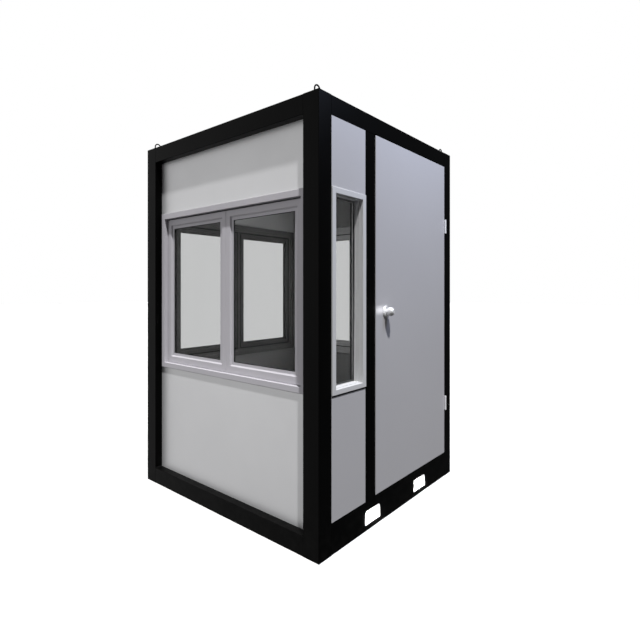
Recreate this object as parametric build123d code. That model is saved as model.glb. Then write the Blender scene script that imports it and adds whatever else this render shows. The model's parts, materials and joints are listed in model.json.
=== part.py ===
"""Relocatable guard booth: a welded steel box frame with insulated infill walls.

The booth stands on the ground at z = 0 with the origin at the middle of its footprint.
Its door is in the front wall, which faces -Y, and +X is to the right of someone who
stands outside and faces the door. All sizes are in millimetres.
"""
from build123d import *
import os

# ---- overall box frame ----------------------------------------------------------------
WIDTH = 1524.0              # outside, along X, the side with the door
DEPTH = 1524.0              # outside, along Y
HEIGHT = 2286.0             # ground to the top of the frame, without the lifting eyes
POST = 101.6                # square corner post, and the depth of every rail
TOP_RAIL = 101.6            # height of the four top rails
SIDE_BASE_RAIL = 101.6      # height of the base rails at left and right
END_BASE_RAIL = 160.8       # height of the base rails that the forks pass through
FRAME_EDGE_RADIUS = 3.0     # rounded corners of the frame's steel sections

# ---- walls ----------------------------------------------------------------------------
PANEL_THICKNESS = 50.8      # left, right and back wall panels, flush with the posts inside
FRONT_THICKNESS = 70.0      # wall beside the door, flush with the posts outside
WINDOW_SILL = 791.0         # ground to the lower edge of every window frame
OVER_WINDOW = 353.0         # from the upper edge of every window frame to the top rails

# ---- windows --------------------------------------------------------------------------
FRAME_HEAD = 36.0           # widths of a wide window's flanges
FRAME_SILL = 32.0
FRAME_JAMB = 34.0
FRAME_LAP = 15.0            # the flanges cover this much of the wall around the frame
FLANGE_THICKNESS = 11.0     # both flanges of a wide window, in front of and behind the wall
WINDOW_SIDE_GAP = 15.0      # between a wide window's flanges and the corner posts
SASH_GAP = 6.0              # around a pair of sashes, less the foot at the sill
SASH_FOOT = 4.5             # the bottom rail reaches down into that gap
SASH_WIDTH = 44.0
SASH_DEPTH = 33.0           # the sash's back rests on the frame's lip
SASH_BEVEL = 8.0            # slope from the sash's face down to the glazing bead
LIP_THICKNESS = 4.0         # lip of the frame behind the sashes
SASH_BEARING = 9.0          # how far the lip reaches behind the sash
MEETING_GAP = 2.0           # between the two sashes of a wide window
BEAD_WIDTH = 16.0           # glazing bead inside the sash
BEAD_SETBACK = 8.5          # from the sash's face to the bead's face
BEAD_THICKNESS = 3.0
GLASS_THICKNESS = 6.0
NARROW_HEAD = 29.0          # widths of the narrow window's flanges
NARROW_SILL = 26.0
NARROW_JAMB = 30.0
NARROW_FLANGE = 6.0         # thickness of the narrow window's flanges
NARROW_STEP = 3.0           # the opening narrows by this behind the flange
NARROW_STEP_SETBACK = 20.0  # from the flange to the step
NARROW_GLASS_SETBACK = 56.0  # from the narrow window's flange to its glass
NARROW_BEAD_WIDTH = 8.0
EDGE_SOFTENING = 1.5        # small rounds on window, door and trim edges

# ---- door -----------------------------------------------------------------------------
DOOR_WIDTH = 910.0
DOOR_THICKNESS = 44.0
DOOR_GAP = 5.0              # around the leaf at head, sill, hinge side and stop
DOOR_LOCK_GAP = 6.5         # at the free edge, wider because that edge swings on an arc
STOP_LAP = 12.0             # the stop covers this much of the leaf's edge
STOP_THICKNESS = 20.0
REBATE = 6.5                # cut into the hinge post and the top rail around the leaf

# ---- hinges ---------------------------------------------------------------------------
HINGE_HEIGHT = 96.0
HINGE_PLATE = 2.0
HINGE_PLATE_DEPTH = 38.0
KNUCKLE_RADIUS = 6.5
KNUCKLE_CLEARANCE = 0.5     # between the knuckle and the faces behind it, and its ends
PIN_RADIUS = 3.0
PIN_CLEARANCE = 0.05        # radial running clearance
HINGE_FROM_TOP = 423.0      # leaf's top to the middle of the upper hinge
HINGE_FROM_BOTTOM = 352.0   # leaf's bottom to the middle of the lower hinge

# ---- door knob ------------------------------------------------------------------------
KNOB_ABOVE_LEAF_BOTTOM = 1026.0
KNOB_BACKSET = 107.0        # from the leaf's free edge to the knob's axis
ROSE_RADIUS = 34.0
ROSE_THICKNESS = 8.0
KNOB_PROJECTION = 53.0      # from the leaf's face to the knob's face
KNOB_RADIUS = 26.0
KNOB_FACE_RADIUS = 14.0
KNOB_SOFTENING = 3.0        # rounds on the knob's shoulder and crown
SHANK_RADIUS = 12.0
SPINDLE_RADIUS = 5.0
KNOB_CLEARANCE = 1.0        # around the shank and the spindle
CYLINDER_RADIUS = 11.0      # key cylinder in the outer knob's face
CYLINDER_DEPTH = 8.0
CYLINDER_PROUD = 1.5
KEYWAY_WIDTH = 2.0
KEYWAY_LENGTH = 9.0

# ---- floor, fork pockets and roof -----------------------------------------------------
FORK_WIDTH = 152.4          # clear opening of a fork pocket
FORK_HEIGHT = 75.0
FORK_BOTTOM = 32.0          # ground to the floor of the pocket
FORK_SPACING = 561.0        # middle to middle
FORK_CORNER = 20.0          # rounded upper corners
FORK_WALL = 3.0
DECK_THICKNESS = 40.0
JOIST_WIDTH = 50.0
JOIST_EDGE_GAP = 20.0       # from the outer joists to the side base rails
JOIST_SLEEVE_GAP = 25.0     # from a fork sleeve to the joists beside it
ROOF_THICKNESS = 80.0
ROOF_RIB_WIDTH = 40.0
ROOF_RIB_HEIGHT = 15.0
ROOF_RIBS = 7

# ---- lifting eyes ---------------------------------------------------------------------
EYE_BAR_RADIUS = 4.0
EYE_RADIUS = 20.5           # to the middle of the bar
EYE_LEG = 24.0              # straight part of each leg

# ---- derived --------------------------------------------------------------------------
INNER_WIDTH = WIDTH - 2 * POST
INNER_DEPTH = DEPTH - 2 * POST
PANEL_RECESS = POST - PANEL_THICKNESS
RAIL_BOTTOM = HEIGHT - TOP_RAIL
WINDOW_HEAD = RAIL_BOTTOM - OVER_WINDOW
LEAF_BOTTOM = END_BASE_RAIL + DOOR_GAP
LEAF_TOP = RAIL_BOTTOM + REBATE - DOOR_GAP
LEAF_RIGHT = INNER_WIDTH / 2 + REBATE - DOOR_GAP
LEAF_LEFT = LEAF_RIGHT - DOOR_WIDTH
DOOR_POST_RIGHT = LEAF_LEFT - DOOR_LOCK_GAP
DOOR_POST_LEFT = DOOR_POST_RIGHT - POST
STOP_FACE = DOOR_THICKNESS + DOOR_GAP
HINGE_X = LEAF_RIGHT + DOOR_GAP / 2
HINGE_DEPTH = -(KNUCKLE_RADIUS + KNUCKLE_CLEARANCE)
KNOB_X = LEAF_LEFT + KNOB_BACKSET
KNOB_Z = LEAF_BOTTOM + KNOB_ABOVE_LEAF_BOTTOM
FLOOR_TOP = END_BASE_RAIL
DECK_BOTTOM = FLOOR_TOP - DECK_THICKNESS

FRONT = {"turn": 0, "half": DEPTH / 2, "clear": INNER_WIDTH, "base": END_BASE_RAIL}
RIGHT = {"turn": 90, "half": WIDTH / 2, "clear": INNER_DEPTH, "base": SIDE_BASE_RAIL}
BACK = {"turn": 180, "half": DEPTH / 2, "clear": INNER_WIDTH, "base": END_BASE_RAIL}
LEFT = {"turn": 270, "half": WIDTH / 2, "clear": INNER_DEPTH, "base": SIDE_BASE_RAIL}


# ---- helpers --------------------------------------------------------------------------
def block(x, y, z):
    """A box from three (low, high) pairs."""
    centre = ((x[0] + x[1]) / 2, (y[0] + y[1]) / 2, (z[0] + z[1]) / 2)
    return Pos(*centre) * Box(x[1] - x[0], y[1] - y[0], z[1] - z[0])


def place(shape, wall):
    """Move a shape from a wall's own frame into the booth.

    In a wall's frame, x runs to the right for someone outside who faces the wall, y is
    the depth inwards from the frame's outer face, and z is the height above ground.
    """
    return Rot(0, 0, wall["turn"]) * (Pos(0, -wall["half"], 0) * shape)


def soften(shape, edges, radius=EDGE_SOFTENING):
    """Round the given edges."""
    return fillet(edges, radius)


def front_edges(shape, depth):
    """The edges that lie in the plane at one depth."""
    return shape.edges().filter_by_position(Axis.Y, depth - 0.01, depth + 0.01)


def ring(x, y, z, left, right, bottom, top):
    """A rectangular frame with four bar widths."""
    hole = block((x[0] + left, x[1] - right), y, (z[0] + bottom, z[1] - top))
    return block(x, y, z) - hole


def even_ring(x, y, z, width):
    """A rectangular frame with one bar width."""
    return ring(x, y, z, width, width, width, width)


def funnel(x, y, z, slope):
    """A block that widens towards the front, by the slope all round."""
    centre = ((x[0] + x[1]) / 2, (z[0] + z[1]) / 2)
    sections = []
    for depth, grow in ((y[0], slope), (y[1], 0)):
        plane = Plane((centre[0], depth, centre[1]), x_dir=(1, 0, 0), z_dir=(0, 1, 0))
        sections.append(plane * Rectangle(x[1] - x[0] + 2 * grow, z[1] - z[0] + 2 * grow))
    return loft(sections)


def save(node, *solids):
    """Write one node, which may hold several separate solids."""
    shape = solids[0] if len(solids) == 1 else Compound(children=list(solids))
    export_step(shape, f"parts/{node}.step")


# ---- box frame ------------------------------------------------------------------------
def corner_post(x_side, y_side):
    """Square post with rounded long edges, at one corner of the footprint."""
    x = x_side * (WIDTH - POST) / 2
    y = y_side * (DEPTH - POST) / 2
    post = Pos(x, y, HEIGHT / 2) * Box(POST, POST, HEIGHT)
    return soften(post, post.edges().filter_by(Axis.Z), FRAME_EDGE_RADIUS)


def hinge_post():
    """The front right post, rebated for the door's hinge edge."""
    inner = INNER_WIDTH / 2
    rebate = block((inner, inner + REBATE), (0, STOP_FACE), (END_BASE_RAIL, RAIL_BOTTOM + REBATE))
    return corner_post(1, -1) - place(rebate, FRONT)


def rail(wall, bottom, top):
    """A rail between two corner posts, as deep as the posts."""
    half = wall["clear"] / 2
    bar = block((-half, half), (0, POST), (bottom, top))
    return soften(bar, bar.edges().filter_by(Axis.X), FRAME_EDGE_RADIUS)


def front_top_rail():
    """Top rail over the door, rebated for the leaf's head."""
    bar = rail(FRONT, RAIL_BOTTOM, HEIGHT)
    rebate = block(
        (DOOR_POST_RIGHT, INNER_WIDTH / 2), (0, STOP_FACE), (RAIL_BOTTOM, RAIL_BOTTOM + REBATE)
    )
    return place(bar - rebate, FRONT)


def door_post():
    """Post between the door and the narrow wall, of the same section as the corner posts."""
    post = block((DOOR_POST_LEFT, DOOR_POST_RIGHT), (0, POST), (END_BASE_RAIL, RAIL_BOTTOM))
    return place(soften(post, front_edges(post, 0).filter_by(Axis.Z), FRAME_EDGE_RADIUS), FRONT)


def door_stops():
    """Three flat bars behind the leaf: lock side, hinge side and head."""
    depth = (STOP_FACE, STOP_FACE + STOP_THICKNESS)
    lock_end = LEAF_LEFT + STOP_LAP
    hinge_end = LEAF_RIGHT - STOP_LAP
    head_bottom = LEAF_TOP - STOP_LAP
    side_top = head_bottom - 1
    bars = [
        block((DOOR_POST_RIGHT, lock_end), depth, (END_BASE_RAIL, side_top)),
        block((hinge_end, INNER_WIDTH / 2), depth, (END_BASE_RAIL, side_top)),
        block((DOOR_POST_RIGHT, INNER_WIDTH / 2), depth, (head_bottom, RAIL_BOTTOM)),
    ]
    return [place(bar, FRONT) for bar in bars]


# ---- fork pockets, joists and floor ---------------------------------------------------
def fork_profile(grow=0.0):
    """Cross-section of a fork pocket in XZ, with rounded upper corners."""
    half = FORK_WIDTH / 2 + grow
    bottom = FORK_BOTTOM - grow
    top = FORK_BOTTOM + FORK_HEIGHT + grow
    radius = FORK_CORNER + grow
    outline = Plane.XZ * (Pos(0, (bottom + top) / 2) * Rectangle(2 * half, top - bottom))
    return fillet(outline.vertices().group_by(Axis.Z)[-1], radius)


def fork_bar(grow):
    """The pocket's profile, drawn out over the whole depth of the booth."""
    return extrude(fork_profile(grow), DEPTH / 2, both=True)


def fork_sleeves():
    """Two tubes that run through the base from front to back."""
    tube = fork_bar(FORK_WALL) - fork_bar(0)
    return [Pos(side * FORK_SPACING / 2, 0, 0) * tube for side in (-1, 1)]


def end_base_rail(wall):
    """Deep base rail with holes that the fork sleeves fill."""
    bar = place(rail(wall, 0, END_BASE_RAIL), wall)
    for side in (-1, 1):
        bar -= Pos(side * FORK_SPACING / 2, 0, 0) * fork_bar(FORK_WALL)
    return bar


def floor_joists():
    """Joists from the ground to the deck, between the end base rails, clear of the sleeves."""
    sleeve_edge = FORK_SPACING / 2 + FORK_WIDTH / 2 + FORK_WALL
    beside_sleeve = sleeve_edge + JOIST_SLEEVE_GAP + JOIST_WIDTH / 2
    at_edge = INNER_WIDTH / 2 - JOIST_EDGE_GAP - JOIST_WIDTH / 2
    y = (-INNER_DEPTH / 2, INNER_DEPTH / 2)
    z = (0, DECK_BOTTOM)
    joists = []
    for x in (-at_edge, -beside_sleeve, 0, beside_sleeve, at_edge):
        joists.append(block((x - JOIST_WIDTH / 2, x + JOIST_WIDTH / 2), y, z))
    return joists


def floor_deck():
    """Deck between the walls, level with the door's threshold."""
    x = (-INNER_WIDTH / 2, INNER_WIDTH / 2)
    y = (-INNER_DEPTH / 2, INNER_DEPTH / 2)
    return block(x, y, (DECK_BOTTOM, FLOOR_TOP))


def roof_panel():
    """Insulated roof between the top rails, its skin ribbed across the booth."""
    x = (-INNER_WIDTH / 2, INNER_WIDTH / 2)
    y = (-INNER_DEPTH / 2, INNER_DEPTH / 2)
    top = RAIL_BOTTOM + ROOF_THICKNESS
    panel = block(x, y, (RAIL_BOTTOM, top))
    pitch = INNER_DEPTH / ROOF_RIBS
    for number in range(ROOF_RIBS):
        middle = y[0] + pitch * (number + 0.5)
        low = middle - ROOF_RIB_WIDTH / 2
        panel += block(x, (low, low + ROOF_RIB_WIDTH), (top, top + ROOF_RIB_HEIGHT))
    return panel


def lifting_eye(x_side, y_side):
    """Bent round bar on top of a corner post, in a plane along the door face."""
    arc_centre = HEIGHT + EYE_LEG
    path = Line((-EYE_RADIUS, 0, HEIGHT), (-EYE_RADIUS, 0, arc_centre))
    path += ThreePointArc(
        (-EYE_RADIUS, 0, arc_centre), (0, 0, arc_centre + EYE_RADIUS), (EYE_RADIUS, 0, arc_centre)
    )
    path += Line((EYE_RADIUS, 0, arc_centre), (EYE_RADIUS, 0, HEIGHT))
    section = Plane((-EYE_RADIUS, 0, HEIGHT)) * Circle(EYE_BAR_RADIUS)
    bar = sweep(section, path=path)
    return Pos(x_side * (WIDTH - POST) / 2, y_side * (DEPTH - POST) / 2, 0) * bar


# ---- walls ----------------------------------------------------------------------------
def wall_panels(wall):
    """Panels under and over the window of a recessed wall."""
    half = wall["clear"] / 2
    depth = (PANEL_RECESS, PANEL_RECESS + PANEL_THICKNESS)
    lower = block((-half, half), depth, (wall["base"], WINDOW_SILL + FRAME_LAP))
    upper = block((-half, half), depth, (WINDOW_HEAD - FRAME_LAP, RAIL_BOTTOM))
    return place(lower, wall), place(upper, wall)


def front_panels():
    """Flush panels under and over the narrow window."""
    x = (-INNER_WIDTH / 2, DOOR_POST_LEFT)
    depth = (0, FRONT_THICKNESS)
    lower = block(x, depth, (END_BASE_RAIL, WINDOW_SILL + FRAME_LAP))
    upper = block(x, depth, (WINDOW_HEAD - FRAME_LAP, RAIL_BOTTOM))
    return place(lower, FRONT), place(upper, FRONT)


# ---- windows --------------------------------------------------------------------------
def flange(x, depth, bars, outer_face):
    """Flat ring that laps the wall; bars holds its jamb, sill and head widths."""
    jamb, sill, head = bars
    plate = ring(x, depth, (WINDOW_SILL, WINDOW_HEAD), jamb, jamb, sill, head)
    return soften(plate, front_edges(plate, outer_face))


def window_frame(opening, flange_x, wall_depth, thickness, bars):
    """Outer window frame: a body that fills the wall's opening, and a flange on each side.

    opening and flange_x are (left, right) pairs, wall_depth is the (outer, inner) faces
    of the wall, and bars holds the flanges' jamb, sill and head widths.
    """
    jamb, sill, head = bars
    outer, inner = wall_depth
    side = flange_x[0] - opening[0] + jamb
    z = (WINDOW_SILL + FRAME_LAP, WINDOW_HEAD - FRAME_LAP)
    frame = ring(opening, wall_depth, z, side, side, sill - FRAME_LAP, head - FRAME_LAP)
    frame += flange(flange_x, (outer - thickness, outer), bars, outer - thickness)
    frame += flange(flange_x, (inner, inner + thickness), bars, inner + thickness)
    return frame


def sash(x, z, face):
    """The two stiles and two rails of a sash, bevelled towards the glass, with beads."""
    back = face + SASH_DEPTH
    inner_x = (x[0] + SASH_WIDTH, x[1] - SASH_WIDTH)
    inner_z = (z[0] + SASH_WIDTH, z[1] - SASH_WIDTH)
    outer = block(x, (face, back), (z[0] - SASH_FOOT, z[1]))
    outer = soften(outer, front_edges(outer, face))
    opening = block(inner_x, (face, back), inner_z)
    bar = outer - opening - funnel(inner_x, (face, face + SASH_BEVEL), inner_z, SASH_BEVEL)
    bead_front = face + BEAD_SETBACK
    bead_back = bead_front + BEAD_THICKNESS + GLASS_THICKNESS
    front_bead = even_ring(inner_x, (bead_front, bead_front + BEAD_THICKNESS), inner_z, BEAD_WIDTH)
    back_bead = even_ring(inner_x, (bead_back, bead_back + BEAD_THICKNESS), inner_z, BEAD_WIDTH)
    return sash_bars(bar + front_bead + back_bead, x, z)


def sash_bars(shape, x, z):
    """Cut a sash into two full-height stiles and the two rails between them."""
    width = SASH_WIDTH + BEAD_WIDTH
    depth = (0, POST + PANEL_THICKNESS)
    height = (z[0] - 2 * SASH_FOOT, z[1] + SASH_FOOT)
    middle = (x[0] + width, x[1] - width)
    stiles = [(x[0] - 1, middle[0]), (middle[1], x[1] + 1)]
    rails = [(height[0], z[0] + width), (z[1] - width, height[1])]
    return (
        [shape & block(span, depth, height) for span in stiles],
        [shape & block(middle, depth, span) for span in rails],
    )


def pane(x, z, face):
    """The glass that fills a sash between its beads."""
    front = face + BEAD_SETBACK + BEAD_THICKNESS
    inner_x = (x[0] + SASH_WIDTH, x[1] - SASH_WIDTH)
    inner_z = (z[0] + SASH_WIDTH, z[1] - SASH_WIDTH)
    return block(inner_x, (front, front + GLASS_THICKNESS), inner_z)


def wide_window(wall):
    """The frame, the bars of two sashes and two panes that fill a wall between its posts."""
    half = wall["clear"] / 2
    flange_half = half - WINDOW_SIDE_GAP
    bars = (FRAME_JAMB, FRAME_SILL, FRAME_HEAD)
    frame = window_frame(
        (-half, half), (-flange_half, flange_half), (PANEL_RECESS, POST), FLANGE_THICKNESS, bars
    )
    lip_half = flange_half - FRAME_JAMB
    lip_z = (WINDOW_SILL + FRAME_SILL, WINDOW_HEAD - FRAME_HEAD)
    lip_width = SASH_GAP + SASH_BEARING
    frame += even_ring((-lip_half, lip_half), (POST - LIP_THICKNESS, POST), lip_z, lip_width)
    reach = lip_half - SASH_GAP
    sash_z = (lip_z[0] + SASH_GAP, lip_z[1] - SASH_GAP)
    sash_face = POST - LIP_THICKNESS - SASH_DEPTH
    sides = ((-reach, -MEETING_GAP / 2), (MEETING_GAP / 2, reach))
    sashes = [sash(x, sash_z, sash_face) for x in sides]
    stiles = [place(bar, wall) for pair in sashes for bar in pair[0]]
    rails = [place(bar, wall) for pair in sashes for bar in pair[1]]
    panes = [place(pane(x, sash_z, sash_face), wall) for x in sides]
    return place(frame, wall), stiles, rails, panes


def narrow_window():
    """Fixed window beside the door: a deep stepped frame with its pane set far back."""
    x = (-INNER_WIDTH / 2, DOOR_POST_LEFT)
    bars = (NARROW_JAMB, NARROW_SILL, NARROW_HEAD)
    frame = window_frame(x, x, (0, FRONT_THICKNESS), NARROW_FLANGE, bars)
    open_x = (x[0] + NARROW_JAMB, x[1] - NARROW_JAMB)
    open_z = (WINDOW_SILL + NARROW_SILL, WINDOW_HEAD - NARROW_HEAD)
    step_depth = (NARROW_STEP_SETBACK - NARROW_FLANGE, FRONT_THICKNESS)
    frame += even_ring(open_x, step_depth, open_z, NARROW_STEP)
    inner_x = (open_x[0] + NARROW_STEP, open_x[1] - NARROW_STEP)
    inner_z = (open_z[0] + NARROW_STEP, open_z[1] - NARROW_STEP)
    glass_front = NARROW_GLASS_SETBACK - NARROW_FLANGE
    glass = block(inner_x, (glass_front, glass_front + GLASS_THICKNESS), inner_z)
    bead_back = glass_front + GLASS_THICKNESS
    bead_depth = (bead_back, bead_back + BEAD_THICKNESS)
    frame += even_ring(inner_x, bead_depth, inner_z, NARROW_BEAD_WIDTH)
    return place(frame, FRONT), place(glass, FRONT)


# ---- door -----------------------------------------------------------------------------
def door_leaf():
    """Flush leaf with a hole for the knob's spindle."""
    leaf = block((LEAF_LEFT, LEAF_RIGHT), (0, DOOR_THICKNESS), (LEAF_BOTTOM, LEAF_TOP))
    leaf = soften(leaf, front_edges(leaf, 0))
    hole = Pos(KNOB_X, DOOR_THICKNESS / 2, KNOB_Z) * Rot(90, 0, 0) * Cylinder(
        SPINDLE_RADIUS + KNOB_CLEARANCE, DOOR_THICKNESS
    )
    return place(leaf - hole, FRONT)


def hinge_heights():
    """Middle of the lower and of the upper hinge."""
    return (LEAF_BOTTOM + HINGE_FROM_BOTTOM, LEAF_TOP - HINGE_FROM_TOP)


def knuckle(z_low, z_high, radius=KNUCKLE_RADIUS):
    """A cylinder on the hinge axis."""
    height = z_high - z_low
    return Pos(HINGE_X, HINGE_DEPTH, (z_low + z_high) / 2) * Cylinder(radius, height)


def knuckle_zones(middle):
    """Low, middle and high thirds of a hinge, with running gaps between them."""
    third = HINGE_HEIGHT / 3
    gap = KNUCKLE_CLEARANCE
    base = middle - HINGE_HEIGHT / 2
    low = (base, base + third)
    mid = (base + third + gap, base + 2 * third - gap)
    high = (base + 2 * third, base + HINGE_HEIGHT)
    return low, mid, high


def hinge_plate(x, middle, reach_zones):
    """Plate in the gap beside the leaf, joined to the knuckle only in some zones."""
    z = (middle - HINGE_HEIGHT / 2, middle + HINGE_HEIGHT / 2)
    plate = block(x, (2 * KNUCKLE_CLEARANCE, HINGE_PLATE_DEPTH), z)
    for zone in reach_zones:
        plate += block(x, (HINGE_DEPTH + PIN_RADIUS + 1, HINGE_PLATE_DEPTH), zone)
    return plate


def frame_hinge(middle):
    """Fixed half: plate, end knuckles and the pin through all three."""
    low, mid, high = knuckle_zones(middle)
    plate_x = (LEAF_RIGHT + DOOR_GAP - HINGE_PLATE, LEAF_RIGHT + DOOR_GAP)
    half = hinge_plate(plate_x, middle, (low, high))
    half += knuckle(*low)
    half += knuckle(*high)
    half += knuckle(low[0], high[1], PIN_RADIUS)
    return place(half, FRONT)


def leaf_hinge(middle):
    """Moving half: plate and the middle knuckle, bored for the pin."""
    low, mid, high = knuckle_zones(middle)
    plate_x = (LEAF_RIGHT, LEAF_RIGHT + HINGE_PLATE)
    half = hinge_plate(plate_x, middle, (mid,))
    half += knuckle(*mid)
    half -= knuckle(mid[0], mid[1], PIN_RADIUS + PIN_CLEARANCE)
    return place(half, FRONT)


# ---- knob -----------------------------------------------------------------------------
def turned(points):
    """Solid of revolution about the knob's axis from (radius, depth) points."""
    profile = make_face(Polyline(*[(radius, depth) for radius, depth in points], close=True))
    solid = revolve(profile, Axis.Y)
    return Pos(KNOB_X, 0, KNOB_Z) * solid


def knob_roses():
    """Round plates on both faces of the leaf, bored for the shank."""
    bore = SHANK_RADIUS + KNOB_CLEARANCE
    slope = ROSE_THICKNESS / 2
    outer = turned(
        [
            (bore, 0),
            (ROSE_RADIUS, 0),
            (ROSE_RADIUS, -slope),
            (ROSE_RADIUS - slope, -ROSE_THICKNESS),
            (bore, -ROSE_THICKNESS),
        ]
    )
    back = DOOR_THICKNESS
    inner = turned(
        [
            (bore, back),
            (ROSE_RADIUS, back),
            (ROSE_RADIUS, back + slope),
            (ROSE_RADIUS - slope, back + ROSE_THICKNESS),
            (bore, back + ROSE_THICKNESS),
        ]
    )
    return [place(outer, FRONT), place(inner, FRONT)]


def knob_outline(base, sign):
    """Half outline of one knob, from the leaf's face outwards."""
    face = base + sign * KNOB_PROJECTION
    neck = base + sign * (ROSE_THICKNESS + 5)
    crown = base + sign * (KNOB_PROJECTION - 15)
    shoulder = base + sign * (KNOB_PROJECTION - 5)
    return [
        (0, base + sign * KNOB_CLEARANCE),
        (SHANK_RADIUS, base + sign * KNOB_CLEARANCE),
        (SHANK_RADIUS, neck),
        (KNOB_RADIUS - 4, neck + sign * 5),
        (KNOB_RADIUS, neck + sign * 12),
        (KNOB_RADIUS, crown),
        (KNOB_FACE_RADIUS + 5, shoulder),
        (KNOB_FACE_RADIUS, face),
        (0, face),
    ]


def turned_knob(base, sign):
    """One knob with its broad edges rounded."""
    body = turned(knob_outline(base, sign))
    rims = [e for e in body.edges().filter_by(GeomType.CIRCLE) if e.radius > KNOB_FACE_RADIUS + 1]
    return soften(body, rims, KNOB_SOFTENING)


def knob():
    """Outer and inner knob on one spindle, with a pocket for the key cylinder."""
    outer = turned_knob(0, -1)
    inner = turned_knob(DOOR_THICKNESS, 1)
    reach = DOOR_THICKNESS + 2 * KNOB_CLEARANCE
    middle = DOOR_THICKNESS / 2
    spindle = Pos(KNOB_X, middle, KNOB_Z) * Rot(90, 0, 0) * Cylinder(SPINDLE_RADIUS, reach)
    pocket = cylinder_blank(CYLINDER_RADIUS + KNUCKLE_CLEARANCE, 0)
    return place(outer + inner + spindle - pocket, FRONT)


def cylinder_blank(radius, proud):
    """Disc at the bottom of the outer knob's pocket."""
    bottom = -KNOB_PROJECTION + CYLINDER_DEPTH
    top = -KNOB_PROJECTION - proud
    disc = Cylinder(radius, bottom - top)
    return Pos(KNOB_X, (bottom + top) / 2, KNOB_Z) * Rot(90, 0, 0) * disc


def lock_cylinder():
    """Key cylinder with its keyway."""
    blank = cylinder_blank(CYLINDER_RADIUS, CYLINDER_PROUD)
    face = -KNOB_PROJECTION - CYLINDER_PROUD
    keyway = block(
        (KNOB_X - KEYWAY_WIDTH / 2, KNOB_X + KEYWAY_WIDTH / 2),
        (face, face + CYLINDER_DEPTH / 2),
        (KNOB_Z - KEYWAY_LENGTH / 2, KNOB_Z + KEYWAY_LENGTH / 2),
    )
    return place(blank - keyway, FRONT)


# ---- write every node -----------------------------------------------------------------
def write_frame():
    """Posts, rails, door post, stops and lifting eyes."""
    save("corner_post_front_left", corner_post(-1, -1))
    save("corner_post_front_right", hinge_post())
    save("corner_post_back_left", corner_post(-1, 1))
    save("corner_post_back_right", corner_post(1, 1))
    save("top_rail_front", front_top_rail())
    save("base_rail_front", end_base_rail(FRONT))
    save("base_rail_back", end_base_rail(BACK))
    save("top_rail_back", place(rail(BACK, RAIL_BOTTOM, HEIGHT), BACK))
    sides = (LEFT, RIGHT)
    save("side_top_rails", *[place(rail(wall, RAIL_BOTTOM, HEIGHT), wall) for wall in sides])
    save("side_base_rails", *[place(rail(wall, 0, SIDE_BASE_RAIL), wall) for wall in sides])
    save("door_post", door_post())
    save("door_stops", *door_stops())
    save("lifting_eyes", *[lifting_eye(x, y) for x in (-1, 1) for y in (-1, 1)])


def write_floor_and_roof():
    """Fork sleeves, joists, deck and roof."""
    save("fork_sleeves", *fork_sleeves())
    save("floor_joists", *floor_joists())
    save("floor_deck", floor_deck())
    save("roof_panel", roof_panel())


def write_walls():
    """Panels and windows of the four walls."""
    for name, wall in (("left", LEFT), ("right", RIGHT), ("back", BACK)):
        lower, upper = wall_panels(wall)
        frame, stiles, rails, panes = wide_window(wall)
        save(f"{name}_wall_lower", lower)
        save(f"{name}_wall_upper", upper)
        save(f"{name}_window_frame", frame)
        save(f"{name}_window_stiles", *stiles)
        save(f"{name}_window_rails", *rails)
        save(f"{name}_window_glass", *panes)
    lower, upper = front_panels()
    frame, glass = narrow_window()
    save("front_wall_lower", lower)
    save("front_wall_upper", upper)
    save("front_window_frame", frame)
    save("front_window_glass", glass)


def write_door():
    """Leaf, hinges and knob."""
    save("door_leaf", door_leaf())
    save("hinge_frame_halves", *[frame_hinge(z) for z in hinge_heights()])
    save("hinge_leaf_halves", *[leaf_hinge(z) for z in hinge_heights()])
    save("knob_roses", *knob_roses())
    save("door_knob", knob())
    save("lock_cylinder", lock_cylinder())


os.makedirs("parts", exist_ok=True)
write_frame()
write_floor_and_roof()
write_walls()
write_door()
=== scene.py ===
"""Looks, small fittings, light and camera for the guard booth, in the CAD's frame.

Sizes and fittings are worked out in millimetres and then scaled. Materials, lights and
the camera are in metres.
"""
import bpy
import bmesh
import json
import math
from mathutils import Matrix, Vector


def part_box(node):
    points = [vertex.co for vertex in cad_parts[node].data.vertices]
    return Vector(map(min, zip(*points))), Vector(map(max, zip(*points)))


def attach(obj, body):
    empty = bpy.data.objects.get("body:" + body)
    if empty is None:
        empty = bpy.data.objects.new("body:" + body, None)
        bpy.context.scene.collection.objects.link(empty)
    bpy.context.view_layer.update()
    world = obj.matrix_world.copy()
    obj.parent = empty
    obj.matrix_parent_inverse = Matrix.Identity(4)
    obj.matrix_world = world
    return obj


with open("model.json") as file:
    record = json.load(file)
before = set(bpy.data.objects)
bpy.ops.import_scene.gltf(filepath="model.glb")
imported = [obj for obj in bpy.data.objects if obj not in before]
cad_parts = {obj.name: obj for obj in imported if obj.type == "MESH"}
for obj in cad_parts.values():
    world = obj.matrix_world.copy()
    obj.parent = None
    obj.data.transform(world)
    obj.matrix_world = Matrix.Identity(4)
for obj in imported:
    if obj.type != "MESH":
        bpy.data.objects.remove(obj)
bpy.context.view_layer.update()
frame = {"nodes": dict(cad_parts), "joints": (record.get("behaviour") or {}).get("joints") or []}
nodes = frame["nodes"]
scene = bpy.context.scene

# ---- sizes from the frame, in mm --------------------------------------------------------
MM = 0.001


class Box:
    """The six faces of a CAD node at rest. Its front faces -Y and its back +Y."""

    def __init__(self, node):
        low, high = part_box(node)
        self.left, self.front, self.low = low / MM
        self.right, self.back, self.top = high / MM


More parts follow.
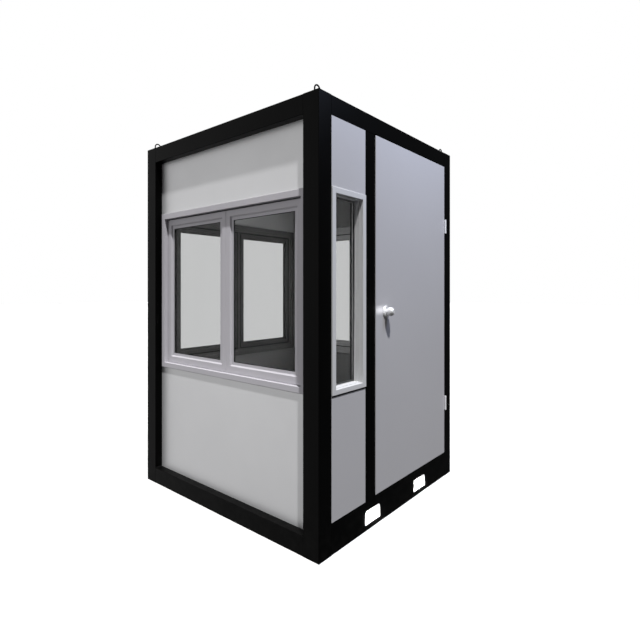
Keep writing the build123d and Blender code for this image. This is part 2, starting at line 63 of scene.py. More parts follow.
post = Box("corner_post_front_right")
wall_panel = Box("back_wall_lower")
flanges = Box("back_window_frame")
sash = Box("back_window_stiles")
wide_pane = Box("back_window_glass")
narrow_pane = Box("front_window_glass")
door_post = Box("door_post")
leaf = Box("door_leaf")
hinges = Box("hinge_leaf_halves")
sleeves = Box("fork_sleeves")
roof = Box("roof_panel")
HALF = post.right                       # from the booth's middle to its outer faces
CLEAR = post.left                       # from the booth's middle to the posts' inner faces
RAIL = Box("top_rail_back").low         # underside of the top rails
SIDE_RAIL_TOP = Box("side_base_rails").top
END_RAIL_TOP = Box("base_rail_back").top
SILL, HEAD = flanges.low, flanges.top
knob_axis = next(joint["pos_m"] for joint in frame["joints"] if joint["name"] == "knob_turn")
KNOB_X, KNOB_Z = knob_axis[0] / MM, knob_axis[2] / MM

# Depths inwards from the frame's outer face. The left, right and back walls are alike.
PANEL_FRONT, PANEL_BACK = HALF - wall_panel.back, HALF - wall_panel.front
PANE_FRONT, PANE_BACK = HALF - wide_pane.back, HALF - wide_pane.front
NARROW_PANE_FRONT = HALF + narrow_pane.front
SASH_BACK = HALF - sash.front
LEAF_MIDDLE = (leaf.back - leaf.front) / 2
STOP_FACE = HALF + Box("door_stops").front
ROSE_FACE = HALF + Box("knob_roses").back
KNOB_FACE = HALF + Box("door_knob").back

# Sizes inside a node, which its box doesn't tell.
FLANGE_EDGE = CLEAR - 15                # the flanges stop short of the posts
MEETING_EDGE = 1                        # from the window's middle to each sash
SASH_Z = (sash.low + 4.5, sash.top)     # the bottom rail has a foot below the sash's face
SASH_BORDER = 60                        # width of the sash and its bead around the pane
SEAL_BORDER = 16                        # from the sash's edge to the seal in its back
HALF_HINGE = 48
HINGE_MIDDLES = (hinges.low + HALF_HINGE, hinges.top - HALF_HINGE)
HINGE_HOLES = ((17, -36), (28, 0), (17, 36))    # depth, and height from the hinge's middle
EYE = (post.left + post.right) / 2      # a lifting eye stands on the middle of each post
EYE_LEG = 20.5                          # from the eye's middle to each leg
RIB_HEIGHT = 15
ROOF_TOP = roof.top - RIB_HEIGHT
ROOF_RIBS = 7
HALF_SLEEVE = 79.2
POCKET_MIDDLE = sleeves.right - HALF_SLEEVE


# ---- node trees -------------------------------------------------------------------------
class NodeTree:
    """Short names for building the nodes of one tree."""

    def __init__(self, tree):
        self.tree = tree

    def add(self, kind, **settings):
        node = self.tree.nodes.new(kind)
        for key, value in settings.items():
            setattr(node, key, value)
        return node

    def plug(self, value, socket):
        """Link a socket, or set a plain value."""
        if isinstance(value, bpy.types.NodeSocket):
            self.tree.links.new(value, socket)
        else:
            socket.default_value = value

    def math(self, operation, a, b=0.0):
        node = self.add("ShaderNodeMath", operation=operation)
        self.plug(a, node.inputs[0])
        self.plug(b, node.inputs[1])
        return node.outputs[0]

    def ramp(self, value, low, high, out_low=0.0, out_high=1.0):
        """out_low up to low, out_high from high on, and a straight line between them."""
        node = self.add("ShaderNodeMapRange", clamp=True)
        self.plug(value, node.inputs["Value"])
        ends = {"From Min": low, "From Max": high, "To Min": out_low, "To Max": out_high}
        for key, end in ends.items():
            self.plug(end, node.inputs[key])
        return node.outputs["Result"]

    def axes(self, vector):
        node = self.add("ShaderNodeSeparateXYZ")
        self.plug(vector, node.inputs[0])
        return node.outputs


class Shader(NodeTree):
    """One material, whose patterns follow the object's own coordinates."""

    def __init__(self, name):
        self.mat = bpy.data.materials.new(name)
        self.mat.use_nodes = True
        super().__init__(self.mat.node_tree)
        self.bsdf = self.tree.nodes["Principled BSDF"]
        self.coords = self.add("ShaderNodeTexCoord").outputs["Object"]

    def set(self, **inputs):
        """Set the shader's inputs; an underscore stands for a space in an input's name."""
        for key, value in inputs.items():
            self.plug(value, self.bsdf.inputs[key.replace("_", " ")])

    def noise(self, scale, detail, stretch=None):
        node = self.add("ShaderNodeTexNoise")
        vector = self.coords
        if stretch:
            mapping = self.add("ShaderNodeMapping")
            mapping.inputs["Scale"].default_value = stretch
            self.plug(self.coords, mapping.inputs["Vector"])
            vector = mapping.outputs[0]
        self.plug(vector, node.inputs["Vector"])
        node.inputs["Scale"].default_value = scale
        node.inputs["Detail"].default_value = detail
        return node.outputs["Fac"]

    def mix(self, factor, a, b):
        node = self.add("ShaderNodeMix", data_type="RGBA")
        self.plug(factor, node.inputs["Factor"])
        self.plug(a, node.inputs["A"])
        self.plug(b, node.inputs["B"])
        return [output for output in node.outputs if output.type == "RGBA"][0]

    def bump(self, height, distance):
        node = self.add("ShaderNodeBump")
        node.inputs["Strength"].default_value = 1.0
        node.inputs["Distance"].default_value = distance
        self.plug(height, node.inputs["Height"])
        self.plug(node.outputs["Normal"], self.bsdf.inputs["Normal"])


# ---- kinds of material ------------------------------------------------------------------
def grey(value, cast=(0, 0, 0)):
    """A grey with a slight colour cast added to it."""
    return tuple(value + c for c in cast) + (1.0,)


DUST_COLOUR = grey(0.10, (0.01, 0.005, 0))
DUST_HEIGHT = 0.35


def painted(name, light, dark, rough, specular, bump_mm, inside=None, under=None, dust=0.0, flake=0.0):
    """Sprayed or powder-coated steel, whose colour drifts between light and dark.

    inside is (colour, reach): the colour of faces nearer the booth's middle than that reach.
    On the walls and windows it is painted room light and shade; in the fork sleeves it is their white
    lining.
    under is (colour, height): the colour of faces below that height, a painted shade that darkens the
    roof's underside as the room's ceiling. dust is the most dust that lies on it near the ground. flake
    is the share of metal flake in the outside paint.
    """
    s = Shader(name)
    cloud = s.ramp(s.noise(scale=1.7, detail=4), low=0.35, high=0.65)
    colour = s.mix(cloud, dark, light)
    x, y, z = s.axes(s.coords)
    metallic = flake
    if inside:
        # Faces towards the room: painted room light and shade on walls and windows, the white lining in
        # the sleeves.
        lining_or_room_shade_colour, reach = inside
        from_middle = s.math("MAXIMUM", s.math("ABSOLUTE", x), s.math("ABSOLUTE", y))
        lining_or_room_shade_mask = s.math("LESS_THAN", from_middle, reach)
        colour = s.mix(lining_or_room_shade_mask, colour, lining_or_room_shade_colour)
        if flake:
            metallic = s.ramp(lining_or_room_shade_mask, 0.0, 1.0, out_low=flake, out_high=0.0)
    # A painted shade on faces below a height; it darkens the roof's underside, the room's ceiling.
    if under:
        ceiling_shade_colour, height = under
        colour = s.mix(s.math("LESS_THAN", z, height), colour, ceiling_shade_colour)
    if dust:
        near_ground = s.ramp(z, 0.0, DUST_HEIGHT, out_low=dust, out_high=0.0)
        speckle = s.ramp(s.noise(scale=24, detail=5), low=0.4, high=0.75)
        colour = s.mix(s.math("MULTIPLY", near_ground, speckle), colour, DUST_COLOUR)
    s.set(Base_Color=colour, Specular_IOR_Level=specular, Metallic=metallic)
    patches = s.noise(scale=9, detail=3)
    s.set(Roughness=s.ramp(patches, 0.3, 0.7, out_low=rough - 0.02, out_high=rough + 0.02))
    s.bump(s.noise(scale=420, detail=2), bump_mm / 1000)
    return s.mat


def metal(name, colour, rough, stretch):
    """Bare or plated metal with fine streaks."""
    s = Shader(name)
    streak = s.noise(scale=60, detail=3, stretch=stretch)
    darker = tuple(0.86 * c for c in colour[:3]) + (1.0,)
    s.set(Base_Color=s.mix(streak, darker, colour), Metallic=1.0)
    s.set(Roughness=s.ramp(streak, 0.3, 0.7, out_low=rough * 0.8, out_high=rough * 1.25))
    s.bump(streak, 0.00002)
    return s.mat


def rubbery(name, light, dark, rough):
    """Rubber, sealant or vinyl."""
    s = Shader(name)
    patches = s.ramp(s.noise(scale=55, detail=4), low=0.35, high=0.65)
    s.set(Base_Color=s.mix(patches, dark, light), Specular_IOR_Level=0.25)
    grain = s.noise(scale=130, detail=2)
    s.set(Roughness=s.ramp(grain, 0.3, 0.7, out_low=rough - 0.06, out_high=rough + 0.06))
    s.bump(s.noise(scale=300, detail=3), 0.00006)
    return s.mat


def clear_glass(name):
    """Slightly grey glass with a faint film and a low reflection."""
    s = Shader(name)
    film = s.ramp(s.noise(scale=3, detail=4), 0.45, 0.8, out_low=0.0, out_high=0.012)
    tint = s.mix(s.noise(scale=2, detail=2), (0.722, 0.727, 0.727, 1), (0.732, 0.735, 0.735, 1))
    s.set(Base_Color=tint, Transmission_Weight=1.0, IOR=1.1, Roughness=film)
    return s.mat


# Where a piece's outside paint ends and its inside colour begins: metres from the middle.
# On walls and windows the inside colour is painted room light and shade.
WALL_REACH = MM * (wall_panel.front + 0.8)
SASH_REACH = MM * (wide_pane.back - 1.9)
FRONT_REACH = MM * (-narrow_pane.back - 3)
SLEEVE_REACH = MM * (sleeves.back - 0.8)
CEILING = MM * (roof.low + 15.6)        # just above the roof panel's underside

WALL_CAST = (0, 0, 0.01)
DOOR_CAST = (0.002, -0.004, 0.012)
VIOLET_CAST = (0.011, -0.003, 0.030)
COOL_CAST = (0.0, 0.0, 0.006)


def wall_paint(name, inner):
    """The walls' grey, with painted room light and shade as the colour of the side that faces the room.
    """
    return painted(name, grey(0.62, WALL_CAST), grey(0.6, WALL_CAST), rough=0.45, specular=0.3,
                   bump_mm=0.010, inside=(grey(inner), WALL_REACH), flake=0.42)


def window_paint(name, outer, cast, inner, reach):
    """The windows' grey, with painted room light and shade as the colour of the side that faces the
    room.
    """
    return painted(name, grey(outer, cast), grey(outer - 0.02, cast), rough=0.42, specular=0.1,
                   bump_mm=0.006, inside=(grey(inner), reach))


# ---- the materials ----------------------------------------------------------------------
BLACK_LIGHT, BLACK_DARK = grey(0.0013), grey(0.0009)
black = painted("frame_black", BLACK_LIGHT, BLACK_DARK, rough=0.42, specular=0.042, bump_mm=0.012,
                dust=0.03)
# Inner colours are painted room light and shade: lighter on the left walls and the back wall's upper
# panel, darker on the right walls and the back wall's lower panel.
panel_grey = wall_paint("panel_grey", inner=0.68)
right_panel_room_shade = wall_paint("right_panel_grey", inner=0.23)
back_panel_room_shade = wall_paint("back_panel_grey", inner=0.36)
# The roof's underside, the room's ceiling, is painted darker as painted shade.
roof_and_ceiling_shade = painted("roof_and_ceiling_shade", grey(0.44), grey(0.42), rough=0.5, specular=0.3, bump_mm=0.010,
                    under=(grey(0.2), CEILING))
door_grey = painted("door_grey", grey(0.473, DOOR_CAST), grey(0.463, DOOR_CAST), rough=0.45,
                    specular=0.25, bump_mm=0.010, flake=0.12)
# The windows' inner colours are painted room shade, lighter on the right window as painted room light.
window_grey = window_paint("window_grey", 0.485, VIOLET_CAST, 0.125, SASH_REACH)
back_window = window_paint("back_window_grey", 0.485, VIOLET_CAST, 0.17, SASH_REACH)
right_window_room_light = window_paint("right_window_grey", 0.485, VIOLET_CAST, 0.42, SASH_REACH)
# The front window's outside grey is lighter than the other windows' as painted light on the door side.
front_window = window_paint("front_window_grey", 0.54, COOL_CAST, 0.12, FRONT_REACH)
# The sleeves' cut ends are black like the rail around them, and their lining is white.
sleeve_paint = painted("sleeve_white", BLACK_LIGHT, BLACK_DARK, rough=0.42, specular=0.042,
                       bump_mm=0.010, inside=(grey(0.94), SLEEVE_REACH))
deck = rubbery("floor_vinyl", grey(0.09), grey(0.078), rough=0.5)
steel = metal("plate_steel", (0.75, 0.75, 0.76, 1), rough=0.3, stretch=(1, 1, 14))
hinge_zinc = painted("hinge_zinc", grey(0.92), grey(0.88), rough=0.35, specular=0.5, bump_mm=0.006,
                     flake=0.3)
chrome = painted("knob_chrome", grey(0.96), grey(0.94), rough=0.24, specular=0.5, bump_mm=0.001,
                 flake=0.5)
glass = clear_glass("window_glass")
rubber = rubbery("seal_rubber", grey(0.012), grey(0.008), rough=0.65)
sealant = rubbery("sealant_grey", grey(0.40), grey(0.37), rough=0.5)
zinc = metal("screw_zinc", (0.62, 0.62, 0.63, 1), rough=0.35, stretch=(4, 4, 4))


def give(material, *names):
    """Make a material the only one of each node."""
    for name in names:
        mesh = nodes[name].data
        mesh.materials.clear()
        mesh.materials.append(material)


FRAME_STARTS = ("corner_post", "top_rail", "base_rail", "side_")
FRAME_NAMES = ("door_post", "door_stops", "lifting_eyes", "floor_joists")
for name in nodes:
    if name.startswith(FRAME_STARTS) or name in FRAME_NAMES:
        give(black, name)
    elif name.endswith("glass"):
        give(glass, name)
    elif name.endswith(("window_frame", "stiles", "rails")):
        give(right_window_room_light if name.startswith("right") else window_grey, name)
    elif name.startswith("hinge"):
        give(hinge_zinc, name)
give(sleeve_paint, "fork_sleeves")
give(chrome, "door_knob", "knob_roses", "lock_cylinder")
give(door_grey, "door_leaf")
give(deck, "floor_deck")
give(roof_and_ceiling_shade, "roof_panel")
give(panel_grey, *[name for name in nodes if "_wall_" in name])
give(right_panel_room_shade, "right_wall_lower", "right_wall_upper")
give(back_panel_room_shade, "back_wall_lower")
give(door_grey, "front_wall_lower", "front_wall_upper")
give(front_window, "front_window_frame")
give(back_window, "back_window_frame")

# ---- fittings: helpers ------------------------------------------------------------------
# A wall's own frame has x to the right, y inwards from the frame's outer face, and z up.
TURNS = {"front": 0, "right": 90, "back": 180, "left": 270}
SIDES = ("left", "right", "back")
TO_METRES = Matrix.Scale(MM, 4)
X_AXIS, Y_AXIS, Z_AXIS = (1, 0, 0), (0, 1, 0), (0, 0, 1)


def wall_matrix(wall):
    """From a wall's own frame in mm to the booth's in metres."""
    turn = Matrix.Rotation(math.radians(TURNS[wall]), 4, "Z")
    return TO_METRES @ turn @ Matrix.Translation((0, -HALF, 0))


FRONT = wall_matrix("front")


def on_front(point, normal, spin=0.0):
    """Stand a fitting's +Z along a direction in the front wall's frame."""
    turn = Vector(normal).to_track_quat("Z", "Y").to_matrix().to_4x4()
    return FRONT @ Matrix.Translation(point) @ turn @ Matrix.Rotation(spin, 4, "Z")


def finish_mesh(name, bm, material, body, smooth=False):
    """Turn a bmesh in metres into an object that rides on a body."""
    bmesh.ops.remove_doubles(bm, verts=bm.verts, dist=1e-6)
    bmesh.ops.recalc_face_normals(bm, faces=bm.faces)
    mesh = bpy.data.meshes.new(name)
    bm.to_mesh(mesh)
    bm.free()
    for face in mesh.polygons:
        face.use_smooth = smooth
    mesh.materials.append(material)
    obj = bpy.data.objects.new(name, mesh)
    scene.collection.objects.link(obj)
    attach(obj, body)


def circle(radius, height, sides):
    """Points of a level circle round the Z axis."""
    angles = [2 * math.pi * i / sides for i in range(sides)]
    return [(radius * math.cos(a), radius * math.sin(a), height) for a in angles]


def rectangle(width, depth, height, inset=0.0):
    """Corners of a level rectangle round the Z axis, with each side moved in by inset."""
    x, y = width / 2 - inset, depth / 2 - inset
    return [(-x, -y, height), (x, -y, height), (x, y, height), (-x, y, height)]


def shrunk(span, amount):
    """A span with its two ends moved inwards."""
    return (span[0] + amount, span[1] - amount)


def add_row(bm, points, matrix=Matrix.Identity(4)):
    """A row of new vertices."""
    return [bm.verts.new(matrix @ Vector(point)) for point in points]


def skin(bm, a, b):
    """Four-sided faces between two equal rings of vertices."""
    for i in range(len(a)):
        j = (i + 1) % len(a)
        bm.faces.new((a[i], a[j], b[j], b[i]))


def add_rings(bm, loops, matrix, closed=False):
    """Skin a row of equal loops. closed joins the last to the first; otherwise both ends
    get a face."""
    rows = [add_row(bm, loop, matrix) for loop in loops]
    for a, b in zip(rows, rows[1:]):
        skin(bm, a, b)
    if closed:
        skin(bm, rows[-1], rows[0])
    else:
        bm.faces.new(rows[0][::-1])
        bm.faces.new(rows[-1])


def half_round(radius, steps=6):
    """Points of a half circle that stands on its flat side."""
    angles = [math.radians(180 + 180 * i / steps) for i in range(steps + 1)]
    return [(radius * math.cos(a), -radius * math.sin(a)) for a in angles]


def frame_bead(bm, wall, x, z, profile):
    """A mitred bead round a rectangle. The profile holds (outwards, depth) points."""
    loops = []
    for right, upper in ((0, 0), (1, 0), (1, 1), (0, 1)):
        loop = []
        for out, depth in profile:
            bead_x = x[1] + out if right else x[0] - out
            bead_z = z[1] + out if upper else z[0] - out
            loop.append((bead_x, depth, bead_z))
        loops.append(loop)
    add_rings(bm, loops, wall_matrix(wall), closed=True)


def straight_bead(bm, matrix, start, end, across, up, profile, steps=1, ripple=0.0):
    """A bead whose profile has across and up as its axes; a ripple varies its size."""
    start, end, across, up = Vector(start), Vector(end), Vector(across), Vector(up)
    loops = []
    for i in range(steps + 1):
        centre = start.lerp(end, i / steps)
        size = 1.0 + ripple * math.cos(math.pi * i)
        loops.append([tuple(centre + across * (u * size) + up * (v * size)) for u, v in profile])
    add_rings(bm, loops, matrix)


def screw_head(radius, height):
    """A mesh in mm of a cross-recessed screw head along +Z."""
    bm = bmesh.new()
    profile = [(radius, 0), (radius, height * 0.3), (radius * 0.86, height * 0.72),
               (radius * 0.55, height), (radius * 0.45, height)]
    rows = [add_row(bm, circle(r, h, sides=28)) for r, h in profile]
    for low, high in zip(rows, rows[1:]):
        skin(bm, low, high)
    bm.faces.new(rows[0][::-1])
    # The recess is a cross-shaped well inside the innermost ring.
    arm, slim, well = radius * 0.42, radius * 0.11, height * 0.35
    cross = []
    for quarter in range(4):
        a = math.pi / 2 * quarter
        for u, v in ((arm, -slim), (arm, slim), (slim, slim)):
            cross.append((u * math.cos(a) - v * math.sin(a), u * math.sin(a) + v * math.cos(a)))
    top = add_row(bm, [(x, y, height) for x, y in cross])
    bottom = add_row(bm, [(x * 0.9, y * 0.9, well) for x, y in cross])
    skin(bm, top, bottom)
    bm.faces.new(bottom)
    rim = [edge for edge in bm.edges if edge.is_boundary]
    bmesh.ops.triangle_fill(bm, use_beauty=True, edges=rim)
    head = bpy.data.meshes.new("screw_head")
    bm.to_mesh(head)
    bm.free()
    return head


def screws(name, body, places, radius, height):
    """One object made of a row of equal screw heads."""
    head = screw_head(radius, height)
    bm = bmesh.new()
    for place in places:
        placed = head.copy()
        placed.transform(place)
        bm.from_mesh(placed)
        bpy.data.meshes.remove(placed)
    bpy.data.meshes.remove(head)
    finish_mesh(name, bm, zinc, body)


# ---- fittings: windows ------------------------------------------------------------------
def window_trim():
    """Sealant round the flanges, gaskets round the panes and seals in the sashes' backs."""
    sealant_bm, gasket_bm, seal_bm = bmesh.new(), bmesh.new(), bmesh.new()
    # Profiles as (outwards, height above the face that they lie on) points.
    flange_bead = [(u + 1.0, v) for u, v in half_round(3.0) + [(3.0, -0.6), (-3.0, -0.6)]]
    gasket = [(2.4, 2.7), (-1.2, 1.9), (-2.6, 0.1), (2.4, 0.1)]
    sash_seal = [(3.5, -0.2), (2.4, 1.1), (-2.4, 1.1), (-3.5, -0.2)]
    for wall in SIDES:
        flange = (-FLANGE_EDGE, FLANGE_EDGE), (SILL, HEAD)
        frame_bead(sealant_bm, wall, *flange, [(u, PANEL_FRONT - v) for u, v in flange_bead])
        frame_bead(sealant_bm, wall, *flange, [(u, PANEL_BACK + v) for u, v in flange_bead])
        for sash_x in ((sash.left, -MEETING_EDGE), (MEETING_EDGE, sash.right)):
            pane = shrunk(sash_x, SASH_BORDER), shrunk(SASH_Z, SASH_BORDER)
            frame_bead(gasket_bm, wall, *pane, [(u, PANE_FRONT - v) for u, v in gasket])
            frame_bead(gasket_bm, wall, *pane, [(u, PANE_BACK + v) for u, v in gasket])
            seal_line = shrunk(sash_x, SEAL_BORDER), shrunk(SASH_Z, SEAL_BORDER)
            frame_bead(seal_bm, wall, *seal_line, [(u, SASH_BACK + v) for u, v in sash_seal])
    # Beads over the head and under the sill of the narrow window, and round its pane.
    left, right = -CLEAR + 0.4, door_post.left
    straight_bead(sealant_bm, FRONT, (left, 0, HEAD), (right, 0, HEAD), Z_AXIS, Y_AXIS,
                  [(-1.0, 0.3), (-1.0, -2.4), (1.4, -2.0), (3.4, -0.6), (3.4, 0.3)])
    straight_bead(gasket_bm, FRONT, (left, 0, SILL), (right, 0, SILL), (0, 0, -1), Y_AXIS,
                  [(-1.0, 0.3), (-1.0, -3.0), (5.0, -2.6), (8.6, -1.0), (8.6, 0.3)])
    edge = (narrow_pane.left, narrow_pane.right), (narrow_pane.low, narrow_pane.top)
    pane_bead = [(0.4, 4.0), (-2.0, 2.8), (-3.6, 0.2), (0.4, 0.2)]
    frame_bead(sealant_bm, "front", *edge, [(u, NARROW_PANE_FRONT - v) for u, v in pane_bead])
    finish_mesh("window_sealant", sealant_bm, sealant, "booth", smooth=True)
    finish_mesh("glazing_gaskets", gasket_bm, rubber, "booth")
    finish_mesh("sash_seals", seal_bm, rubber, "booth")


# ---- fittings: door ---------------------------------------------------------------------
def hinge_screws():
    """Three countersunk screws in each hinge plate, facing the gap between the plates."""
    leaf_places, post_places = [], []
    for middle in HINGE_MIDDLES:
        for k, (depth, rise) in enumerate(HINGE_HOLES):
            spin = 0.4 + 0.7 * k
            z = middle + rise
            leaf_places.append(on_front((leaf.right + 1.95, depth, z), (1, 0, 0), spin))
            post_places.append(on_front((leaf.right + 3.05, depth, z), (-1, 0, 0), spin + 0.9))
    screws("hinge_screws_leaf", "door", leaf_places, radius=4.0, height=0.45)
    screws("hinge_screws_frame", "booth", post_places, radius=4.0, height=0.45)


def latch_plate(name, matrix, hole, body):
    """An upright plate with a bevelled rim and a hole for the latch's tongue."""
    width, height, thickness, bevel = 57, 25, 0.9, 0.6
    bm = bmesh.new()
    add_rings(bm, [rectangle(width, height, 0),
                   rectangle(width, height, thickness - bevel),
                   rectangle(width, height, thickness, inset=bevel),
                   rectangle(*hole, thickness),
                   rectangle(*hole, 0)], matrix, closed=True)
    finish_mesh(name, bm, hinge_zinc, body)


def latch():
    """Faceplate and tongue in the leaf's free edge, and strike plate on the door post."""
    upright = math.pi / 2
    leaf_edge = on_front((leaf.left - 0.05, LEAF_MIDDLE, KNOB_Z), (-1, 0, 0), upright)
    post_edge = on_front((door_post.right + 0.05, LEAF_MIDDLE, KNOB_Z), (1, 0, 0), upright)
    latch_plate("latch_faceplate", leaf_edge, (23, 14), "door")
    tongue_bm = bmesh.new()
    foot = rectangle(21, 12.4, -0.2)
    sloping = [(x, y, 1.4 if y < 0 else 0.5) for x, y, z in foot]
    add_rings(tongue_bm, [foot, sloping], leaf_edge)
    finish_mesh("latch_tongue", tongue_bm, zinc, "door")
    latch_plate("strike_plate", post_edge, (26, 16), "booth")
    leaf_places, post_places = [], []
    for rise in (-23.5, 23.5):
        z = KNOB_Z + rise
        leaf_places.append(on_front((leaf.left - 0.9, LEAF_MIDDLE, z), (-1, 0, 0), 0.5))
        post_places.append(on_front((door_post.right + 0.9, LEAF_MIDDLE, z), (1, 0, 0), 1.1))
    screws("latch_screws_leaf", "door", leaf_places, radius=3.2, height=0.4)
    screws("latch_screws_post", "booth", post_places, radius=3.2, height=0.4)


def door_seals():
    """Rubber bulbs on the stops, behind the leaf's sides and top."""
    bm = bmesh.new()
    bulb = [(-4, 0), (-4, -1.2), (-2.8, -3.0), (0, -3.9), (2.8, -3.0), (4, -1.2), (4, 0)]
    depth, low, top = STOP_FACE + 0.1, END_RAIL_TOP + 1.2, leaf.top - 6
    left, right = leaf.left + 6, leaf.right - 6
    for x in (left, right):
        straight_bead(bm, FRONT, (x, depth, low), (x, depth, top), X_AXIS, Y_AXIS, bulb)
    straight_bead(bm, FRONT, (left, depth, top), (right, depth, top), Z_AXIS, Y_AXIS, bulb)
    finish_mesh("door_seals", bm, rubber, "booth", smooth=True)


def knob_details():
    """Screws in the inner rose and the turn button on the inner knob."""
    places = [on_front((KNOB_X + aside, ROSE_FACE, KNOB_Z), Y_AXIS, 0.3) for aside in (-23, 23)]
    screws("rose_screws", "door", places, radius=3.4, height=1.4)
    bm = bmesh.new()
    middle = on_front((KNOB_X, KNOB_FACE - 0.1, KNOB_Z), Y_AXIS)
    disc = [circle(r, h, sides=36) for r, h in ((9.0, 0), (9.0, 1.2), (8.2, 2.0))]
    wing = [rectangle(13, 2.2, 1.8), rectangle(13, 2.2, 5.0), rectangle(11.2, 1.4, 6.0)]
    add_rings(bm, disc, middle)
    add_rings(bm, wing, middle)
    finish_mesh("turn_button", bm, steel, "knob")


# ---- fittings: frame, roof and floor ----------------------------------------------------
WELD_RIPPLE = 0.06


def corner_welds():
    """Fillet welds where rails meet posts, in the recesses."""
    bm = bmesh.new()
    fillet = [(0, 0), (5, 0), (4.0, 1.4), (2.6, 2.6), (1.4, 4.0), (0, 5)]
    outer, inner = 4, PANEL_FRONT - 1.8
    for wall in SIDES:
        base_top = END_RAIL_TOP if wall == "back" else SIDE_RAIL_TOP
        for side in (-1, 1):
            for z, up in ((RAIL, -1), (base_top, 1)):
                x = side * CLEAR
                straight_bead(bm, wall_matrix(wall), (x, outer, z), (x, inner, z), (-side, 0, 0),
                              (0, 0, up), fillet, steps=15, ripple=WELD_RIPPLE)
    finish_mesh("corner_welds", bm, black, "booth")


def eye_weld(bm, centre):
    """A ring of weld round one leg of a lifting eye."""
    inner, turns = 3.8, 24
    fillet = [(0, 0), (3.4, 0), (2.4, 1.5), (1.2, 2.7), (0, 3.4)]
    loops = []
    for i in range(turns):
        angle = 2 * math.pi * i / turns
        out = Vector((math.cos(angle), math.sin(angle), 0))
        size = 1.0 + WELD_RIPPLE * math.cos(math.pi * i)
        loops.append([tuple(centre + out * (inner + r * size) + Vector((0, 0, h * size)))
                      for r, h in fillet])
    add_rings(bm, loops, TO_METRES, closed=True)


def eye_welds():
    """The welds round both legs of all four lifting eyes."""
    bm = bmesh.new()
    for x in (-EYE, EYE):
        for y in (-EYE, EYE):
            for leg in (-EYE_LEG, EYE_LEG):
                eye_weld(bm, Vector((x + leg, y, post.top)))
    finish_mesh("eye_welds", bm, black, "booth", smooth=True)


def roof_details():
    """Sealant along the roof's edges and screws along each rib."""
    bm = bmesh.new()
    fillet = [(0, 0), (6, 0), (4.6, 1.4), (2.8, 2.8), (1.4, 4.6), (0, 6)]
    low, high = -CLEAR, CLEAR
    for a, b, across in (((low, low), (high, low), (0, 1, 0)), ((low, high), (high, high), (0, -1, 0)),
                         ((low, low), (low, high), (1, 0, 0)), ((high, low), (high, high), (-1, 0, 0))):
        straight_bead(bm, TO_METRES, (*a, ROOF_TOP), (*b, ROOF_TOP), across, Z_AXIS, fillet)
    finish_mesh("roof_sealant", bm, sealant, "booth", smooth=True)
    pitch = 2 * CLEAR / ROOF_RIBS
    places = []
    for k in range(ROOF_RIBS):
        for x in range(-560, 561, 280):
            place = Matrix.Translation((x, -CLEAR + pitch * (k + 0.5), roof.top))
            places.append(TO_METRES @ place @ Matrix.Rotation(0.7 * k + x, 4, "Z"))
    screws("roof_screws", "booth", places, radius=6.0, height=3.2)


def threshold():
    """Thin ribbed plate on the base rail, behind the closed leaf."""
    bm = bmesh.new()
    width, thickness, rib_top = 48, 1.2, 2.2
    front_edge, z = STOP_FACE + 3, END_RAIL_TOP + 0.05
    profile = [(0, 0), (0, thickness)]
    for k in range(6):
        u = 4 + 7 * k
        profile += [(u, thickness), (u + 1, rib_top), (u + 3, rib_top), (u + 4, thickness)]
    profile += [(width, thickness), (width, 0)]
    straight_bead(bm, FRONT, (leaf.left + 13, front_edge, z), (leaf.right - 13, front_edge, z),
                  Y_AXIS, Z_AXIS, profile)
    finish_mesh("threshold_plate", bm, steel, "booth")
    middle, top = front_edge + width / 2, END_RAIL_TOP + 2.1
    places = [on_front((x, middle, top), Z_AXIS, 0.2 * x) for x in (-200, 10, 220, 430, 620)]
    screws("threshold_screws", "booth", places, radius=3.6, height=1.2)


window_trim()
hinge_screws()
latch()
door_seals()
knob_details()
corner_welds()
eye_welds()
roof_details()
threshold()


# ---- light, floor and camera ------------------------------------------------------------
FLOOR_WIDTH = 80
WHITE = (1, 1, 1, 1)
# How strong the surrounding light is, by the direction that it comes from: where a change
# starts and ends, and the strength before and after it.
WORLD_SIDE = (0.85, 1.3, 0.10, 1.30)    # from the right and front round to the back left
WORLD_UP = (-0.25, 0.2, 0.82, 1.0)      # from below to above; it scales the one before
WORLD_BEHIND = (0.0, 0.5, 0.0, 0.9)     # added from the back right
WORLD_BACKWARD = 0.9                    # how far back the brightest side leans
WORLD_ROOM = 2.0                        # what the room's surfaces find beyond a pane


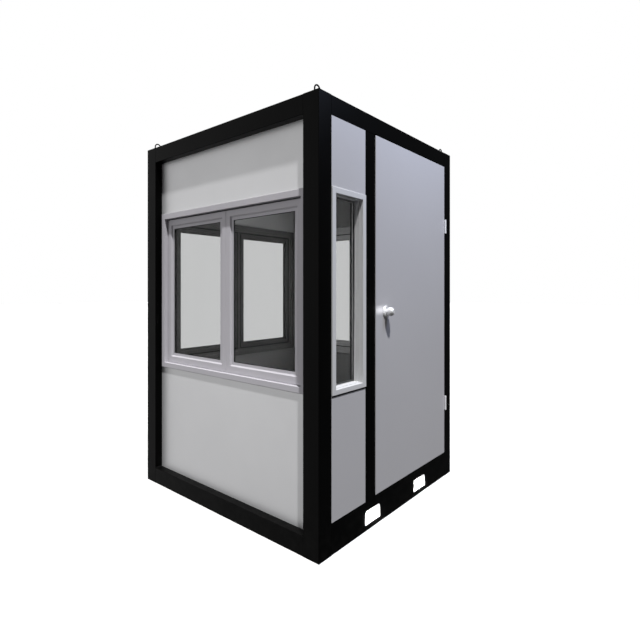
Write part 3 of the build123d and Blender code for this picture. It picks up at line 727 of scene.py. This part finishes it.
def set_world():
    """Soft light that is brightest from the back left; it looks white to the camera.
    Light that comes in through the panes is even, and fills the room."""
    world = bpy.data.worlds.new("studio")
    scene.world = world
    world.use_nodes = True
    w = NodeTree(world.node_tree)
    x, y, z = w.axes(w.add("ShaderNodeTexCoord").outputs["Generated"])
    side = w.math("SUBTRACT", w.math("MULTIPLY", y, WORLD_BACKWARD), x)
    sideways = w.ramp(side, *WORLD_SIDE)
    upwards = w.ramp(z, *WORLD_UP)
    behind = w.ramp(w.math("MINIMUM", x, y), *WORLD_BEHIND)
    strength = w.math("ADD", w.math("MULTIPLY", sideways, upwards), behind)

    path = w.add("ShaderNodeLightPath").outputs
    room = w.add("ShaderNodeMix", data_type="FLOAT")
    w.plug(path["Is Transmission Ray"], room.inputs["Factor"])
    w.plug(strength, room.inputs["A"])
    w.plug(WORLD_ROOM, room.inputs["B"])
    soft = w.tree.nodes["Background"]
    w.plug(WHITE, soft.inputs["Color"])
    w.plug(room.outputs["Result"], soft.inputs["Strength"])
    white = w.add("ShaderNodeBackground")
    w.plug(WHITE, white.inputs["Color"])

    before_diffuse = w.math("LESS_THAN", path["Diffuse Depth"], 0.5)
    through_pane = w.math("MULTIPLY", path["Is Transmission Ray"], before_diffuse)
    seen = w.math("MAXIMUM", path["Is Camera Ray"], through_pane)
    mix = w.add("ShaderNodeMixShader")
    for value, socket in zip((seen, soft.outputs[0], white.outputs[0]), mix.inputs):
        w.plug(value, socket)
    w.plug(mix.outputs[0], w.tree.nodes["World Output"].inputs["Surface"])


def add_light(kind, name, energy, aim, location, **settings):
    """A light that shines along the direction called aim."""
    data = bpy.data.lights.new(name, kind)
    data.energy = energy
    for key, value in settings.items():
        setattr(data, key, value)
    light = bpy.data.objects.new(name, data)
    scene.collection.objects.link(light)
    light.location = location
    light.rotation_euler = Vector(aim).to_track_quat("-Z", "Y").to_euler()


def add_narrow_light(name, energy, target, aim, distance, size, spread):
    """A rectangular light that shines on a target, given in mm, from a short distance."""
    aim = Vector(aim).normalized()
    add_light("AREA", name, energy, aim, MM * Vector(target) - distance * aim, shape="RECTANGLE",
              size=size[0], size_y=size[1], spread=math.radians(spread))


def add_floor():
    """A pale floor that takes shadows and throws no light back at the booth."""
    mesh = bpy.data.meshes.new("floor")
    mesh.from_pydata(rectangle(FLOOR_WIDTH, FLOOR_WIDTH, 0), [], [(0, 1, 2, 3)])
    floor = bpy.data.objects.new("floor", mesh)
    scene.collection.objects.link(floor)
    s = Shader("floor_pale")
    s.set(Base_Color=s.mix(s.noise(scale=2, detail=3), grey(0.78), grey(0.80)), Roughness=0.8)
    mesh.materials.append(s.mat)
    floor.visible_diffuse = False
    floor.visible_glossy = False
    floor.visible_transmission = False


def add_camera():
    """A level camera, so that upright edges stay upright in the picture."""
    camera = bpy.data.objects.new("camera", bpy.data.cameras.new("camera"))
    scene.collection.objects.link(camera)
    camera.location = (-2.5076, -2.1505, 1.3225)
    camera.rotation_euler = Vector((0.7475, 0.6643, 0.0)).to_track_quat("-Z", "Y").to_euler()
    camera.data.lens = 26.15
    camera.data.sensor_width = 36
    camera.data.shift_x = 0.0414
    camera.data.shift_y = -0.0486
    scene.camera = camera


set_world()
add_light("SUN", "key", energy=5.0, aim=(0.216, 0.342, -0.915), location=(0, 0, 4),
          angle=math.radians(2.4))
add_light("AREA", "door_fill", energy=31.0, aim=(-0.05, 1.24, -1.1), location=(0.25, -2.0, 3.5),
          size=0.8, color=(0.80, 0.90, 1.20))
# Light into the mouths of the fork pockets, and a faint one on the leaf beside the knob.
for mouth_x in (-POCKET_MIDDLE, POCKET_MIDDLE):
    add_narrow_light("pocket_fill", energy=0.3, target=(mouth_x, sleeves.front, 60),
                     aim=(0.55, 0.75, -0.36), distance=0.22, size=(0.14, 0.05), spread=20)
add_narrow_light("knob_glow", energy=0.0085, target=(KNOB_X - 66.9, leaf.front, KNOB_Z + 10.2),
                 aim=(0.1, 0.95, 0.25), distance=0.25, size=(0.07, 0.015), spread=14)
add_floor()
add_camera()
scene.view_settings.view_transform = "Standard"
